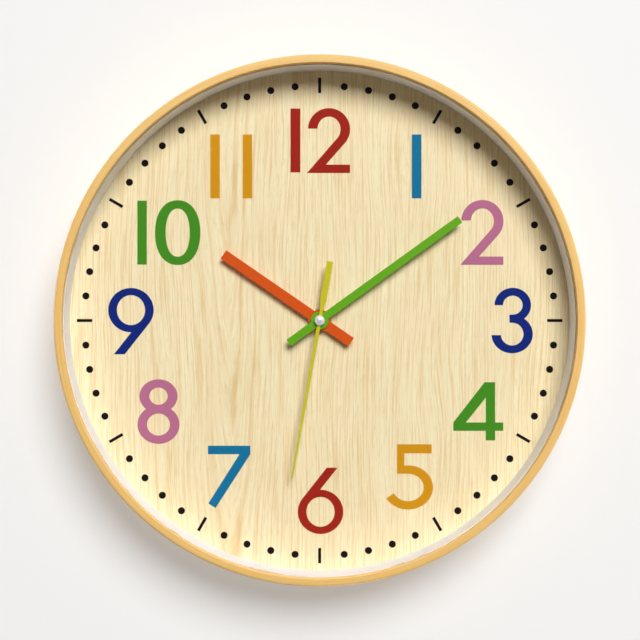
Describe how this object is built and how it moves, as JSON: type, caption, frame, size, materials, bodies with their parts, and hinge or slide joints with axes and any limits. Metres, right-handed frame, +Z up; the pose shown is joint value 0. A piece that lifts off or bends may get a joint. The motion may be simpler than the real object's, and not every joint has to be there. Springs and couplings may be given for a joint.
{
  "type": "wall clock",
  "caption": "Round wooden-hoop wall clock with a wood-look dial, coloured square-ended hands under flat glass, and a geared quartz movement with a keyhole hanger behind.",
  "frame": {"origin": "on the hands' axis, in the plane of the wall that the back of the hoop lies against", "axes": "+Y from the dial into the wall, along the hands' axis; +X to the right as the dial is read; +Z up, towards twelve"},
  "size_m": [0.3, 0.046, 0.3],
  "materials": {
    "honey_wood": "satin lacquer, fine grain",
    "clear_glass": "polished flat",
    "pale_plastic": "matt",
    "pale_veneer": "matt, straight vertical grain",
    "black_ink": "matt print",
    "fibre_board": "raw fibre board",
    "plated_steel": "zinc plated",
    "brass": "turned",
    "black_rubber": "matt",
    "black_plastic": "moulded, fine texture",
    "cell_sleeve": "printed sleeve, plain bands",
    "circuit_laminate": "solder mask",
    "chip_resin": "satin resin",
    "motor_iron": "stamped",
    "ivory_plastic": "moulded",
    "white_plastic": "moulded",
    "coil_copper": "enamelled wire",
    "magnet_ferrite": "sintered",
    "orange_paint": "satin paint",
    "green_paint": "satin paint",
    "yellow_paint": "satin paint",
    "chrome": "polished"
  },
  "bodies": {
    "clock_body": {"wood_frame": "honey_wood", "front_glass": "clear_glass", "spacer_ring": "pale_plastic", "dial_face": "pale_veneer", "minute_dots": "black_ink", "hour_bars": "black_ink", "dial_board": "fibre_board", "board_tabs": "plated_steel", "hex_nut": "brass", "nut_washer": "plated_steel", "sealing_gasket": "black_rubber", "wall_hanger": "plated_steel", "threaded_bush": "brass", "case_shell": "black_plastic", "case_cover": "black_plastic", "middle_plate": "ivory_plastic", "dry_cell": "cell_sleeve", "contact_positive": "plated_steel", "contact_negative": "plated_steel", "circuit_board": "circuit_laminate", "timing_chip": "chip_resin", "quartz_crystal": "plated_steel", "stator_plate": "motor_iron", "coil_core": "motor_iron", "coil_bobbin": "ivory_plastic", "coil_winding": "coil_copper"},
    "second_train": {"second_hand": "yellow_paint", "hand_cap": "chrome", "second_tube": "motor_iron", "second_wheel": "white_plastic", "second_arbor": "motor_iron"},
    "rotor": {"rotor_magnet": "magnet_ferrite", "rotor_pinion": "ivory_plastic"},
    "step_arbor": {"step_wheel": "white_plastic"},
    "third_arbor": {"third_wheel": "white_plastic"},
    "minute_drive": {"minute_wheel": "white_plastic"},
    "minute_train": {"minute_hand": "green_paint", "minute_eye_bush": "brass", "minute_pipe": "ivory_plastic", "clutch_spring": "motor_iron"},
    "motion_arbor": {"motion_wheel": "white_plastic", "setting_knob": "black_plastic"},
    "hour_train": {"hour_hand": "orange_paint", "hour_eye_bush": "brass", "hour_wheel": "white_plastic"}
  },
  "joints": [
    {"name": "second_spin", "type": "hinge", "parent": "clock_body", "child": "second_train", "pos_m": [0, -0.018, 0], "axis": [0, 1, 0], "continuous": true},
    {"name": "rotor_spin", "type": "hinge", "parent": "clock_body", "child": "rotor", "pos_m": [-0.00961, -0.008, 0.00931], "axis": [0, 1, 0], "continuous": true},
    {"name": "step_spin", "type": "hinge", "parent": "clock_body", "child": "step_arbor", "pos_m": [-0.00442, -0.005, 0.00631], "axis": [0, 1, 0], "continuous": true},
    {"name": "third_spin", "type": "hinge", "parent": "clock_body", "child": "third_arbor", "pos_m": [0.00689, -0.009, 0.00579], "axis": [0, 1, 0], "continuous": true},
    {"name": "drive_spin", "type": "hinge", "parent": "clock_body", "child": "minute_drive", "pos_m": [0, -0.0112, 0], "axis": [0, 1, 0], "continuous": true},
    {"name": "minute_spin", "type": "hinge", "parent": "clock_body", "child": "minute_train", "pos_m": [0, -0.02, 0], "axis": [0, 1, 0], "continuous": true},
    {"name": "motion_spin", "type": "hinge", "parent": "clock_body", "child": "motion_arbor", "pos_m": [-0.0096, -0.012, 0], "axis": [0, 1, 0], "continuous": true},
    {"name": "hour_spin", "type": "hinge", "parent": "clock_body", "child": "hour_train", "pos_m": [0, -0.02, 0], "axis": [0, 1, 0], "continuous": true}
  ],
  "couplings": [
    {"joint": "rotor_spin", "follows": "second_spin", "ratio": 30},
    {"joint": "step_spin", "follows": "second_spin", "ratio": -6},
    {"joint": "third_spin", "follows": "second_spin", "ratio": -0.13333},
    {"joint": "drive_spin", "follows": "second_spin", "ratio": 0.016667},
    {"joint": "motion_spin", "follows": "minute_spin", "ratio": -0.33333},
    {"joint": "hour_spin", "follows": "minute_spin", "ratio": 0.083333}
  ]
}
